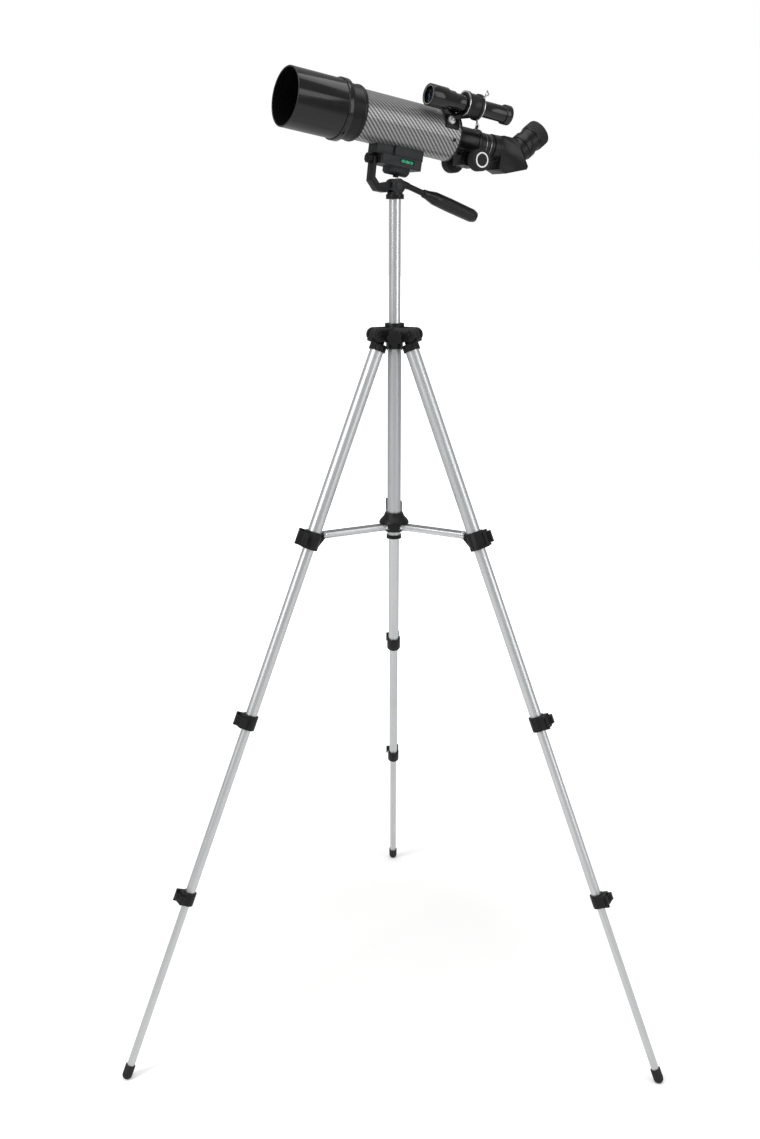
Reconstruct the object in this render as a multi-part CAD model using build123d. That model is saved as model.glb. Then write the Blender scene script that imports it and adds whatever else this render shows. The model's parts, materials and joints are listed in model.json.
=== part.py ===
from build123d import *
import os
from math import acos, cos, degrees, radians, sin

os.makedirs("parts", exist_ok=True)

# ---------------------------------------------------------------- driving dimensions, millimetres
# tripod legs: a leg's own frame has its tube's axis on Z, the foot down and outwards on +X
LEG_AZIMUTHS = (210, 330, 90)
LEG_SPLAY = 22.16
LEG_TOP_R = 21.2
LEG_TOP_Z = 1018.8
LEG_LENGTH = 1100.0
SECTION_RADII = (9.5, 8.1, 6.7, 5.3)
SECTION_WALL = 1.1
SECTION_OVERLAP = 25.0
GROOVE_HALF = 1.5
GROOVE_DEPTH = 0.8
COLLAR_AT = (290.9, 558.2, 822.7)
COLLAR_RADII = (12.2, 10.8, 9.4)
COLLAR_HEIGHTS = (25.0, 21.0, 19.0)
COLLAR_REACH = (16.0, 15.0, 14.0)
FOOT_RADIUS = 7.0
FOOT_HEIGHT = 22.0
FIT = 0.3
PIN_FIT = 0.05

# leg hinge, its canopy, the guide tube and the sliding centre column
HINGE_R = 28.5
HINGE_Z = 1024.0
HINGE_PIN_RADIUS = 2.5
BARREL_RADIUS = 8.8
BARREL_HALF_WIDTH = 6.7
CHEEK_RADIUS = 9.5
CHEEK_INNER = 7.0
CHEEK_OUTER = 11.5
SLEEVE_RADIUS = 11.6
SLEEVE_FLAT = 9.9
SLEEVE_LENGTH = 18.0
CANOPY_BOTTOM = 1004.0
CANOPY_TOP = 1038.6
GUIDE_RADIUS = 9.4
GUIDE_BORE = 8.15
GUIDE_BOTTOM = 741.0
COLUMN_RADIUS = 7.8
COLUMN_WALL = 1.2
COLUMN_TOP = 1200.5
COLUMN_BOTTOM = 930.0

# braces between the legs and the hub that rides on the guide tube
FOLD_ANGLE = 18.0
EAR_S = 278.0
EAR_X = -17.0
HUB_PIVOT_R = 14.5
HUB_SKIRT = 21.0
BRACE_WIDTH = 9.5
BRACE_HEIGHT = 8.0
BRACE_CLEAR_CUT = 32.0

# head: the tilt frame has +X to the telescope's front, +Y to its left and the tilt axis on Y
HEADING = 211.5
ELEVATION = 9.2
TILT_Z = 1217.0
RING_RADIUS = 12.0
RING_BOTTOM = 1200.6
RING_TOP = 1206.8
SPIGOT_RADIUS = 5.5
SPIGOT_TOP = 1208.0
BOSS_RADIUS = 9.8
SIDE_AXIS_W = 28.0
HANDLE_DROP = 10.5
HANDLE_OFFSET = 7.0
HANDLE_LENGTH = 135.0
ARM_HALF_WIDTH = 7.2
PLATFORM_REAR = -27.5
PLATFORM_FRONT = 35.2
PLATFORM_HALF_WIDTH = 16.5
PLATFORM_BELOW_AXIS = 5.0
PLATFORM_TOP = 35.5
KNUCKLE_RADIUS = 14.8
TILT_AXLE_RADIUS = 2.5
CHEEK_GAP_HALF = 4.6
BOSS_HALF_WIDTH = 10.6
TURNTABLE_RADIUS = 10.4
YOKE_HUB_RADIUS = 8.6
YOKE_HUB_HALF_WIDTH = 4.2
SIDE_BOLT_RADIUS = 3.0
SIDE_KNOB_RADIUS = 6.4
SHAFT_RADIUS = 2.6
SHAFT_COLLAR_RADIUS = 3.9
GRIP_RADIUS = 9.3
GRIP_FLUTES = 8
SADDLE_TOP = 50.5

# telescope, measured along its axis from the tilt axis and up from it
SCOPE_W = 77.5
TUBE_FRONT = 78.0
TUBE_REAR = -70.8
TUBE_RADIUS = 31.8
TUBE_WALL = 1.4
SHIELD_FRONT = 175.2
SHIELD_RADIUS = 37.0
SHIELD_BORE = 35.0
LIP_RADIUS = 38.9
CELL_RADIUS = 34.6
LENS_RADIUS = 30.0
FOCUSER_RADIUS = 17.5
FOCUSER_REAR = -118.0
DRAW_RADIUS = 15.8
DRAW_REAR = -150.0
KNOB_U = -106.0
KNOB_INNER = 25.0
KNOB_W = 52.0
KNOB_RADIUS = 14.2
KNOB_SHOULDER = 7.5
RACK_W = 59.2
PINION_RADIUS = RACK_W - KNOB_W - 0.1
FOLD_U = -185.6
EYE_REACH = 50.0
EYE_RADIUS = 18.2
FINDER_TURN = 42.0
FINDER_RISE = 52.0
FINDER_FRONT = -10.5
FINDER_REAR = -140.0
FINDER_RING = -78.0
FINDER_TUBE_RADIUS = 10.6
FINDER_BORE = 12.0
FINDER_HEAD_RADIUS = 14.0
CELL_FRONT = 96.0
LENS_CURVE = 190.0
DRAW_WALL = 1.6
DIAGONAL_HALF_WIDTH = 15.5
HOLDER_RADIUS = 17.2
EYE_BARREL_RADIUS = 15.8
BRACE_PIN_RADIUS = 1.5
RIVET_HEAD_RADIUS = 2.6
LOCK_SCREW_RADIUS = 3.0
LEVER_PIN_RADIUS = 1.2

# ---------------------------------------------------------------- brace linkage, worked out
SPLAY = radians(LEG_SPLAY)
CLOSED = radians(LEG_SPLAY - FOLD_ANGLE)


def leg_point(x, s, splay):
    """Radius and height of a point fixed in a leg, at a splay angle, turned about the hinge pin."""
    pin_x = (HINGE_R - LEG_TOP_R) * cos(SPLAY) + (HINGE_Z - LEG_TOP_Z) * sin(SPLAY)
    pin_z = -(HINGE_R - LEG_TOP_R) * sin(SPLAY) + (HINGE_Z - LEG_TOP_Z) * cos(SPLAY)
    dx, dz = x - pin_x, -s - pin_z
    return HINGE_R + dx * cos(splay) - dz * sin(splay), HINGE_Z + dx * sin(splay) + dz * cos(splay)


EAR_R, EAR_Z = leg_point(EAR_X, EAR_S, SPLAY)
EAR_R_CLOSED, EAR_Z_CLOSED = leg_point(EAR_X, EAR_S, CLOSED)
BRACE_LENGTH = EAR_R - HUB_PIVOT_R
BRACE_RISE = acos((EAR_R_CLOSED - HUB_PIVOT_R) / BRACE_LENGTH)
HUB_RISE = EAR_Z_CLOSED + BRACE_LENGTH * sin(BRACE_RISE) - EAR_Z


# ---------------------------------------------------------------- shapes along an axis
def rod(radius, low, high):
    return Pos(0, 0, (low + high) / 2) * Cylinder(radius, high - low)


def pipe(radius, bore, low, high):
    return rod(radius, low, high) - rod(bore, low - 1, high + 1)


def block(x0, x1, y0, y1, z0, z1):
    return Pos((x0 + x1) / 2, (y0 + y1) / 2, (z0 + z1) / 2) * Box(x1 - x0, y1 - y0, z1 - z0)


def across(shape):
    """Turns a shape built on Z so that it lies on Y."""
    return Rot(-90, 0, 0) * shape


def forward(shape):
    """Turns a shape built on Z so that it lies on X."""
    return Rot(0, 90, 0) * shape


def lobed(radius, lobes, depth, low, high):
    """A knob with rounded hollows between its lobes."""
    knob = rod(radius, low, high)
    for i in range(lobes):
        knob -= Rot(0, 0, 360 / lobes * i) * Pos(radius + depth, 0, 0) * rod(2 * depth, low - 1, high + 1)
    return knob


# ---------------------------------------------------------------- tripod leg pieces
def section(index):
    """One telescoping aluminium tube, its top end plugged inside the tube above."""
    top = 9.0 if index == 0 else COLLAR_AT[index - 1] - SECTION_OVERLAP
    bottom = COLLAR_AT[index] if index < 3 else LEG_LENGTH - 6
    radius = SECTION_RADII[index]
    tube = pipe(radius, radius - SECTION_WALL, -bottom, -top)
    if index > 0:
        tube -= block(-radius - 1, -radius + GROOVE_DEPTH, -GROOVE_HALF, GROOVE_HALF, -bottom - 1, 0)
    return tube


def collar(index):
    """Moulded clamp on a tube's lower end, with a housing for its flip lever on the outside."""
    height = COLLAR_HEIGHTS[index]
    middle = -COLLAR_AT[index]
    low, high = middle - height / 2, middle + height / 2
    reach = COLLAR_REACH[index]
    body = rod(COLLAR_RADII[index], low, high)
    body += block(2, reach, -9, 9, low + 1, high - 1)
    ear_depth = 3.0
    for z in (low + 1, high - 1 - ear_depth):
        body += block(reach - 1, reach + 2.2, -9, -5, z, z + ear_depth)
        body += Pos(reach + 2.2, -7, 0) * rod(2.0, z, z + ear_depth)
    body -= Pos(reach + 2.2, -7, 0) * rod(LEVER_PIN_RADIUS + PIN_FIT, low, high)
    body -= rod(SECTION_RADII[index], middle, high + 1)
    body -= rod(SECTION_RADII[index + 1] + FIT, low - 1, high + 1)
    body = chamfer(body.edges().filter_by(GeomType.CIRCLE).group_by(Axis.Z)[0], 0.8)
    return body


def lever(index):
    """Flip lever: a bowed plate with a pull tab, on a pin along the leg."""
    reach = COLLAR_REACH[index]
    middle = -COLLAR_AT[index]
    half = COLLAR_HEIGHTS[index] / 2 - 4 - FIT
    low, high = middle - half, middle + half
    plate = block(reach + FIT, reach + 3.4, -7, 10, low, high)
    plate += block(reach - 4, reach + 3.4, 10, 12.5, low, high)
    plate += Pos(reach + 2.2, -7, 0) * rod(1.9, low, high)
    plate -= block(reach - 6, reach + FIT, -9.5, 9.4, low - 1, high + 1)
    plate += Pos(reach + 2.2, -7, 0) * rod(LEVER_PIN_RADIUS, middle - half - 3, middle + half + 3)
    return plate


def leg_fitting():
    """Two moulded pieces on the upper tube: the hinged top sleeve and the first collar."""
    pin_x = (HINGE_R - LEG_TOP_R) * cos(SPLAY) + (HINGE_Z - LEG_TOP_Z) * sin(SPLAY)
    pin_z = -(HINGE_R - LEG_TOP_R) * sin(SPLAY) + (HINGE_Z - LEG_TOP_Z) * cos(SPLAY)
    sleeve = rod(SLEEVE_RADIUS, -SLEEVE_LENGTH, -8.2)
    sleeve -= block(-20, -SLEEVE_FLAT, -20, 20, -40, 0)
    sleeve += block(-3.5, pin_x + 7.5, -BARREL_HALF_WIDTH, BARREL_HALF_WIDTH, -9, pin_z)
    sleeve += Pos(pin_x, 0, pin_z) * across(rod(BARREL_RADIUS, -BARREL_HALF_WIDTH, BARREL_HALF_WIDTH))
    sleeve -= Pos(pin_x, 0, pin_z) * across(rod(HINGE_PIN_RADIUS + PIN_FIT, -20, 20))
    sleeve -= rod(SECTION_RADII[0], -40, -9.0)
    first = collar(0)
    lug = Pos(EAR_X, 0, -EAR_S) * across(rod(2.8, -3.3, 3.3))
    arm = Polyline((EAR_X + 1, -EAR_S + 2.6), (-11.6, -EAR_S - 1.5), (-11.6, -EAR_S - 20),
                   (EAR_X - 2.4, -EAR_S - 1.4), close=True)
    lug += Rot(90, 0, 0) * Pos(0, 0, -3.3) * extrude(make_face(arm), 6.6)
    lug -= Pos(EAR_X, 0, -EAR_S) * across(rod(BRACE_PIN_RADIUS + PIN_FIT, -9, 9))
    return [sleeve, first + lug]


def foot():
    cap = rod(FOOT_RADIUS, -LEG_LENGTH + FOOT_RADIUS, -LEG_LENGTH + FOOT_HEIGHT)
    cap += Pos(0, 0, -LEG_LENGTH + FOOT_RADIUS) * Sphere(FOOT_RADIUS)
    cap -= rod(SECTION_RADII[3], -LEG_LENGTH + 6, 0)
    return cap


def brace():
    """Stamped channel, web uppermost, from the leg's ear towards the hub, with its rivet."""
    tip = BRACE_LENGTH - BRACE_CLEAR_CUT
    half = BRACE_WIDTH / 2
    channel = block(-tip, 0, -half, half, -BRACE_HEIGHT / 2, BRACE_HEIGHT / 2)
    channel += across(rod(BRACE_HEIGHT / 2, -half, half))
    channel -= block(-tip - 1, 6, -half + 1, half - 1, -BRACE_HEIGHT, BRACE_HEIGHT / 2 - 1)
    channel -= block(-6.5, 6, -half + 1, half - 1, -BRACE_HEIGHT, BRACE_HEIGHT)
    channel -= across(rod(BRACE_PIN_RADIUS, -9, 9))
    rivet = across(rod(BRACE_PIN_RADIUS, -half, half)) + across(rod(RIVET_HEAD_RADIUS, half, half + 0.9))
    rivet += across(rod(RIVET_HEAD_RADIUS, -half - 0.9, -half))
    return [channel, rivet]


# ---------------------------------------------------------------- tripod centre pieces
def canopy():
    """Moulded top: a core round the column, a cheek either side of each leg hinge, and the pins."""
    body = rod(13.0, 1012, 1034) + rod(11.5, CANOPY_BOTTOM, 1012) + rod(13.25, 1033, CANOPY_TOP)
    for azimuth in LEG_AZIMUTHS:
        turn = Rot(0, 0, azimuth)
        for side in (-1, 1):
            low, high = sorted((side * CHEEK_INNER, side * CHEEK_OUTER))
            body += turn * block(4, HINGE_R, low, high, 1015, HINGE_Z + CHEEK_RADIUS)
            body += turn * Pos(HINGE_R, 0, HINGE_Z) * across(rod(CHEEK_RADIUS, low, high))
    for azimuth in LEG_AZIMUTHS:
        turn = Rot(0, 0, azimuth)
        body -= turn * block(10.3, 30, -12.4, 12.4, 990, 1013.2)
        body -= turn * Pos(HINGE_R, 0, HINGE_Z) * across(rod(HINGE_PIN_RADIUS, -20, 20))
    body += Pos(0, 0, HINGE_Z - 3) * Rot(90, 0, 0) * rod(6.5, 9, 22)
    body -= Pos(0, 0, HINGE_Z - 3) * Rot(90, 0, 0) * rod(LOCK_SCREW_RADIUS + PIN_FIT, 0, 30)
    body -= rod(GUIDE_RADIUS, CANOPY_BOTTOM - 1, 1033)
    body -= rod(COLUMN_RADIUS + FIT, 1000, 1050)
    pins = []
    for azimuth in LEG_AZIMUTHS:
        pin = across(rod(HINGE_PIN_RADIUS, -CHEEK_OUTER - 1, CHEEK_OUTER + 1))
        pins.append(Rot(0, 0, azimuth) * Pos(HINGE_R, 0, HINGE_Z) * pin)
    return [body] + pins


def lock_knob():
    """Scalloped knob on a screw that presses on the column."""
    knob = lobed(10.2, 7, 1.4, 22.4, 33.5)
    knob += rod(LOCK_SCREW_RADIUS, 8.6, 23)
    knob -= rod(20, 0, GUIDE_RADIUS + 1) - rod(LOCK_SCREW_RADIUS, 0, GUIDE_RADIUS + 1)
    return Pos(0, 0, HINGE_Z - 3) * Rot(90, 0, 0) * knob


def guide_tube():
    tube = pipe(GUIDE_RADIUS, GUIDE_BORE, GUIDE_BOTTOM + 2, 1032.8)
    tube -= Pos(0, 0, HINGE_Z - 3) * Rot(90, 0, 0) * rod(LOCK_SCREW_RADIUS + PIN_FIT, 0, 30)
    ring = pipe(GUIDE_RADIUS + 0.9, GUIDE_BORE, GUIDE_BOTTOM - 4, GUIDE_BOTTOM + 2)
    return [tube, ring]


def brace_hub():
    """Dome that slides on the guide tube, with a lug for each brace under its skirt."""
    inner = GUIDE_RADIUS + FIT
    profile = Polyline((inner, 20), (12.5, 20), (14.5, 15), (19.5, 9.5), (HUB_SKIRT, 6.5),
                       (HUB_SKIRT, 4.6), (13.2, 4.6), (12.2, -7.5), (inner, -7.5), close=True)
    dome = Pos(0, 0, EAR_Z) * revolve(Plane.XZ * make_face(profile), Axis.Z)
    for azimuth in LEG_AZIMUTHS:
        lug = block(inner, HUB_PIVOT_R, -3.2, 3.2, EAR_Z - 2.8, EAR_Z + 4.6)
        lug += Pos(HUB_PIVOT_R, 0, EAR_Z) * across(rod(2.8, -3.2, 3.2))
        lug -= Pos(HUB_PIVOT_R, 0, EAR_Z) * across(rod(BRACE_PIN_RADIUS + PIN_FIT, -9, 9))
        dome += Rot(0, 0, azimuth) * lug
    dome -= rod(inner, 700, 800)
    return dome


def center_column():
    tube = pipe(COLUMN_RADIUS, COLUMN_RADIUS - COLUMN_WALL, COLUMN_BOTTOM, COLUMN_TOP)
    tube += rod(COLUMN_RADIUS - 0.5, COLUMN_TOP - 8, COLUMN_TOP)
    spigot = rod(SPIGOT_RADIUS, COLUMN_TOP - 2, SPIGOT_TOP)
    return tube + spigot


def pan_lock_ring():
    ring = rod(RING_RADIUS, RING_BOTTOM, RING_TOP) - rod(SPIGOT_RADIUS + PIN_FIT, 1150, 1250)
    return ring


# ---------------------------------------------------------------- head pieces in the tilt frame
HANDLE_PLACE = Rot(0, -HANDLE_DROP, 0) * Pos(0, 0, HANDLE_OFFSET)


def head_base():
    """Pan base: a turntable that carries the tilt axle between two round cheeks."""
    low = RING_TOP + FIT - TILT_Z
    base = Pos(0, 0, TILT_Z) * Rot(0, 0, HEADING) * (
        rod(TURNTABLE_RADIUS, low, low + 2.2)
        + across(rod(BOSS_RADIUS, CHEEK_GAP_HALF, BOSS_HALF_WIDTH))
        + across(rod(BOSS_RADIUS, -BOSS_HALF_WIDTH, -CHEEK_GAP_HALF))
        - across(rod(BOSS_RADIUS - 0.7, -4.5, 4.5)) + across(rod(TILT_AXLE_RADIUS, -11, 11)))
    base -= rod(SPIGOT_RADIUS + PIN_FIT, 1150, SPIGOT_TOP + FIT)
    base -= Pos(0, 0, TILT_Z) * Rot(0, 0, HEADING) * block(-20, 20, -20, 20, -30, low)
    return base


def yoke():
    """Tilting arm: a hub on the tilt axle, swept forwards and up to the side-tilt bolt."""
    top = SIDE_AXIS_W + ARM_HALF_WIDTH
    path = Polyline((7.5, -3.2), (11.5, -5.5), (16, -11), (29, -11), (40.5, 0), (42, top), (37, top),
                    (35.5, 5.5), (28, -1.5), (13, 3.5), (6.5, 4.5), close=True)
    arm = Rot(90, 0, 0) * Pos(0, 0, -ARM_HALF_WIDTH) * extrude(make_face(path), 2 * ARM_HALF_WIDTH)
    rounded_top = Pos(0, 0, SIDE_AXIS_W) * forward(rod(ARM_HALF_WIDTH, 20, 60))
    arm -= block(30, 50, -20, 20, SIDE_AXIS_W, 60) - rounded_top
    arm -= block(-20, 11.2, -20, -4.3, -30, 30) + block(-20, 11.2, 4.3, 20, -30, 30)
    arm += across(rod(YOKE_HUB_RADIUS, -YOKE_HUB_HALF_WIDTH, YOKE_HUB_HALF_WIDTH))
    arm -= across(rod(TILT_AXLE_RADIUS + PIN_FIT, -20, 20))
    arm -= Pos(0, 0, SIDE_AXIS_W) * forward(rod(SIDE_BOLT_RADIUS + PIN_FIT, 30, 50))
    socket = HANDLE_PLACE * forward(rod(4.6, -19, -8))
    socket -= block(-12, 12, -20, -4.2, -20, 20) + block(-12, 12, 4.2, 20, -20, 20)
    socket -= across(rod(8.0, -20, 20))
    arm += socket
    arm -= HANDLE_PLACE * forward(rod(SHAFT_RADIUS + PIN_FIT, -30, -9.5))
    return arm


def side_lock_knob():
    bolt = rod(SIDE_BOLT_RADIUS, 30, 43) + lobed(SIDE_KNOB_RADIUS, 8, 0.7, 42.4, 48.5)
    return Pos(0, 0, SIDE_AXIS_W) * forward(bolt)


def tilt_platform():
    """Camera platform with its level vial's pocket and the knuckle that turns on the yoke."""
    plate = block(PLATFORM_REAR, PLATFORM_FRONT, -PLATFORM_HALF_WIDTH, PLATFORM_HALF_WIDTH,
                  SIDE_AXIS_W - PLATFORM_BELOW_AXIS, PLATFORM_TOP)
    plate = fillet(plate.edges().filter_by(Axis.Z), 2.5)
    knuckle = block(-13, 16.5, -10.5, 10.5, 10, SIDE_AXIS_W)
    plate += knuckle & Pos(0, 0, SIDE_AXIS_W) * forward(rod(KNUCKLE_RADIUS, -40, 40))
    plate -= block(-15, 6.5, 14.3, 20, 28.2, 33.6)
    plate -= Pos(0, 0, SIDE_AXIS_W) * forward(rod(SIDE_BOLT_RADIUS + PIN_FIT, 29.5, 40))
    return plate


def handle_shaft():
    shaft = rod(SHAFT_RADIUS, -60, -9.8)
    shaft += rod(SHAFT_COLLAR_RADIUS, -60, -19.4)
    return HANDLE_PLACE * forward(shaft)


def handle_grip():
    """Long flared grip with shallow flutes and a domed end."""
    profile = Polyline((SHAFT_COLLAR_RADIUS, -43), (5.4, -45), (6.0, -51), (8.8, -64), (GRIP_RADIUS, -88),
                       (9.0, -129), (7.2, -HANDLE_LENGTH), (0, -HANDLE_LENGTH), (0, -61),
                       (SHAFT_COLLAR_RADIUS, -61), close=True)
    grip = revolve(Plane.XZ * make_face(profile), Axis.Z)
    for i in range(GRIP_FLUTES):
        grip -= Rot(0, 0, 360 / GRIP_FLUTES * i) * Pos(GRIP_RADIUS + 1.1, 0, 0) * rod(1.7, -126, -72)
    grip -= rod(SHAFT_COLLAR_RADIUS, -60, -30)
    return HANDLE_PLACE * forward(grip)


def mount_block():
    """Saddle under the telescope, hollowed to the tube, screwed down on the platform."""
    saddle = block(-29, 15.5, -14.5, 14.5, PLATFORM_TOP, SADDLE_TOP)
    saddle += block(15.5, 42, -11, 11, PLATFORM_TOP, SADDLE_TOP)
    saddle = fillet(saddle.edges().filter_by(Axis.Z), 1.2)
    saddle -= Pos(0, 0, SCOPE_W) * forward(rod(TUBE_RADIUS, -60, 60))
    return saddle


# ---------------------------------------------------------------- telescope pieces on its own axis
def optic(shape):
    """Lays a shape built on Z along the telescope's axis, +Z to the front."""
    return Pos(0, 0, SCOPE_W) * forward(shape)


def dew_shield():
    shield = rod(SHIELD_RADIUS, 97, SHIELD_FRONT) + rod(LIP_RADIUS, CELL_FRONT, 103.5)
    shield -= rod(SHIELD_BORE, 99, 200)
    shield -= rod(LENS_RADIUS + 1.5, 90, 100)
    return optic(fillet(shield.edges().filter_by(GeomType.CIRCLE).group_by(Axis.Z)[-1], 0.6))


def lens_cell():
    cell = rod(CELL_RADIUS, 74, CELL_FRONT) + rod(CELL_RADIUS + 0.8, 76, 79)
    cell -= rod(TUBE_RADIUS, 70, 82)
    cell -= rod(LENS_RADIUS - 1.5, 70, 100)
    cell -= rod(LENS_RADIUS, 86, 93)
    return optic(cell)


def objective_lens():
    """Cemented doublet, shown as one biconvex disc held by its rim."""
    disc = rod(LENS_RADIUS - 1.6, 86, 93)
    front = Pos(0, 0, CELL_FRONT - LENS_CURVE) * Sphere(LENS_CURVE)
    rear = Pos(0, 0, 83 + LENS_CURVE) * Sphere(LENS_CURVE)
    return optic((rod(LENS_RADIUS - 1.7, 80, 99) & front & rear) + disc)


def main_tube():
    return optic(pipe(TUBE_RADIUS, TUBE_RADIUS - TUBE_WALL, TUBE_REAR, TUBE_FRONT))


def focuser_housing():
    """Rear cell in the tube, the draw-tube barrel behind it, and the pinion block below."""
    bore = DRAW_RADIUS + FIT
    plug = rod(TUBE_RADIUS - TUBE_WALL, TUBE_REAR - 1.5, TUBE_REAR + 9) - rod(24, TUBE_REAR + 2, TUBE_FRONT)
    plug += rod(TUBE_RADIUS + 0.4, TUBE_REAR - 2.4, TUBE_REAR)
    plug += rod(FOCUSER_RADIUS, FOCUSER_REAR, TUBE_REAR)
    plug += rod(FOCUSER_RADIUS + 1.2, FOCUSER_REAR, FOCUSER_REAR + 6)
    housing = optic(plug)
    housing += block(KNOB_U - 12, KNOB_U + 12, -13, 13, KNOB_W - 7.5, SCOPE_W - 10)
    housing -= optic(rod(bore, FOCUSER_REAR - 5, TUBE_FRONT))
    housing -= Pos(KNOB_U, 0, KNOB_W) * across(rod(4.4, -20, 20))
    housing -= Pos(KNOB_U, 0, KNOB_W) * across(rod(PINION_RADIUS + 0.6, -5, 5))
    housing -= block(FOCUSER_REAR - 1, -60, -3.5, 3.5, RACK_W - 0.5, SCOPE_W)
    return housing


def drawtube():
    tube = pipe(DRAW_RADIUS, DRAW_RADIUS - DRAW_WALL, DRAW_REAR, -66)
    tube += pipe(DRAW_RADIUS + 1.5, DRAW_RADIUS - 1, DRAW_REAR, DRAW_REAR + 9)
    rack = block(DRAW_REAR + 14, -70, -3, 3, RACK_W, SCOPE_W - DRAW_RADIUS + 0.8)
    return optic(tube) + rack


def focus_knobs():
    """Pinion shaft, and the grooved knob pressed on each of its ends."""
    place = Pos(KNOB_U, 0, KNOB_W)
    shaft = rod(KNOB_SHOULDER, 13.6, KNOB_INNER) + rod(KNOB_SHOULDER, -KNOB_INNER, -13.6)
    shaft += rod(4.0, -KNOB_INNER, KNOB_INNER) + rod(PINION_RADIUS, -4.5, 4.5)
    pieces = [place * across(shaft)]
    for side in (-1, 1):
        low, high = sorted((side * KNOB_INNER, side * (KNOB_INNER + 14)))
        knob = rod(KNOB_RADIUS, low, high)
        low, high = sorted((side * (KNOB_INNER + 12), side * (KNOB_INNER + 16)))
        knob -= rod(10.5, low, high) - rod(8.2, low, high)
        pieces.append(place * across(knob))
    return pieces


def finder_place(shape):
    """Turns a shape round the tube from its top towards +Y."""
    return Pos(0, 0, SCOPE_W) * Rot(-FINDER_TURN, 0, 0) * shape


def finder_bracket():
    """Curved shoe on the tube, two arms swept back, and the double ring round the finder."""
    shoe = forward(pipe(TUBE_RADIUS + 2.6, TUBE_RADIUS, -66, -46))
    shoe = shoe & block(-70, -40, -20, 20, 20, 40)
    for side in (-1, 1):
        outline = Polyline((-48, 31), (-58, 31), (-88, 42), (-88, 50), (-70, 44), close=True)
        arm = Rot(90, 0, 0) * Pos(0, 0, -1.75) * extrude(make_face(outline), 3.5)
        shoe += Pos(0, 7.0 * side, 0) * arm
    low, high = FINDER_RING - 12, FINDER_RING + 12
    ring = forward(pipe(15.2, FINDER_BORE, low, high)) + forward(pipe(16.8, FINDER_BORE, low, low + 4))
    ring += forward(pipe(16.8, FINDER_BORE, high - 4, high))
    shoe -= forward(rod(TUBE_RADIUS, -130, 0))
    shoe -= Pos(0, 0, FINDER_RISE) * forward(rod(FINDER_BORE, -130, -40))
    return finder_place(shoe + Pos(0, 0, FINDER_RISE) * ring)


def finder_tube():
    low, high = FINDER_REAR, FINDER_FRONT
    tube = rod(FINDER_TUBE_RADIUS, low, high)
    tube += rod(FINDER_HEAD_RADIUS, high - 26, high) + rod(12.2, high - 38, high - 26)
    tube += rod(12.8, low, low + 9)
    tube -= rod(12.0, high - 8, high + 1)
    tube -= rod(8.0, low - 1, low + 4)
    for x in (FINDER_RING - 9.5, FINDER_RING + 9.5):
        tube += rod(FINDER_BORE, x - 1.5, x + 1.5)
    return finder_place(Pos(0, 0, FINDER_RISE) * forward(tube))


def diagonal():
    """45-degree prism housing with its eyepiece holder, and the barrel screwed into its front."""
    outline = Polyline((-152, 94), (-176, 94), (-200.5, 62), (-199, 57.5), (-164, 45.5), (-152, 49),
                       close=True)
    body = Rot(90, 0, 0) * Pos(0, 0, -DIAGONAL_HALF_WIDTH)
    body *= extrude(make_face(outline), 2 * DIAGONAL_HALF_WIDTH)
    body += optic(rod(17.6, DRAW_REAR - 4, DRAW_REAR - FIT))
    body -= optic(rod(12.2, DRAW_REAR - 3, DRAW_REAR))
    barrel = optic(pipe(DRAW_RADIUS - DRAW_WALL - PIN_FIT, 12.2, DRAW_REAR - FIT, DRAW_REAR + 22))
    holder = rod(HOLDER_RADIUS, 2, 22) + rod(HOLDER_RADIUS + 1.2, 12, 22)
    turned_up = Pos(FOLD_U, 0, SCOPE_W) * Rot(0, -45, 0)
    return [body + turned_up * holder - turned_up * rod(EYE_BARREL_RADIUS + 0.1, 4, 30), barrel]


def eyepiece():
    """Eyepiece: barrel in the holder, stepped body and a rubber-grooved eye end."""
    body = rod(EYE_BARREL_RADIUS, 4.5, 24) + rod(17.0, 22.4, 34) + rod(EYE_RADIUS, 33, EYE_REACH)
    for z in (37, 40, 43, 46):
        body -= pipe(EYE_RADIUS + 1, EYE_RADIUS - 0.5, z, z + 1.2)
    body -= rod(8.5, EYE_REACH - 4, EYE_REACH + 1)
    body -= rod(11.5, 3, 18)
    return Pos(FOLD_U, 0, SCOPE_W) * Rot(0, -45, 0) * body


# ---------------------------------------------------------------- assembly
LEVEL = {
    "canopy": canopy(), "column_lock_knob": lock_knob(), "guide_tube": guide_tube(), "brace_hub": brace_hub(),
    "center_column": center_column(), "pan_lock_ring": pan_lock_ring(), "head_base": head_base(),
}
TILTED = {
    "yoke": yoke(), "side_lock_knob": side_lock_knob(), "tilt_platform": tilt_platform(),
    "handle_shaft": handle_shaft(), "handle_grip": handle_grip(), "mount_block": mount_block(),
    "dew_shield": dew_shield(), "lens_cell": lens_cell(), "objective_lens": objective_lens(),
    "main_tube": main_tube(), "focuser_housing": focuser_housing(), "drawtube": drawtube(),
    "focus_knobs": focus_knobs(), "finder_bracket": finder_bracket(), "finder_tube": finder_tube(),
    "diagonal": diagonal(), "eyepiece": eyepiece(),
}
LEG = {
    "fitting": leg_fitting(), "tube_1": section(0), "lever_1": lever(0),
    "tube_2": section(1), "collar_2": collar(1), "lever_2": lever(1),
    "tube_3": section(2), "collar_3": collar(2), "lever_3": lever(2),
    "tube_4": section(3), "foot": foot(),
}
TILT_PLACE = Pos(0, 0, TILT_Z) * Rot(0, 0, HEADING) * Rot(0, -ELEVATION, 0)


def solids(shape):
    """Every solid of a piece, as one flat list."""
    if isinstance(shape, list):
        return [s for item in shape for s in solids(item)]
    return list(shape.solids())


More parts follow.
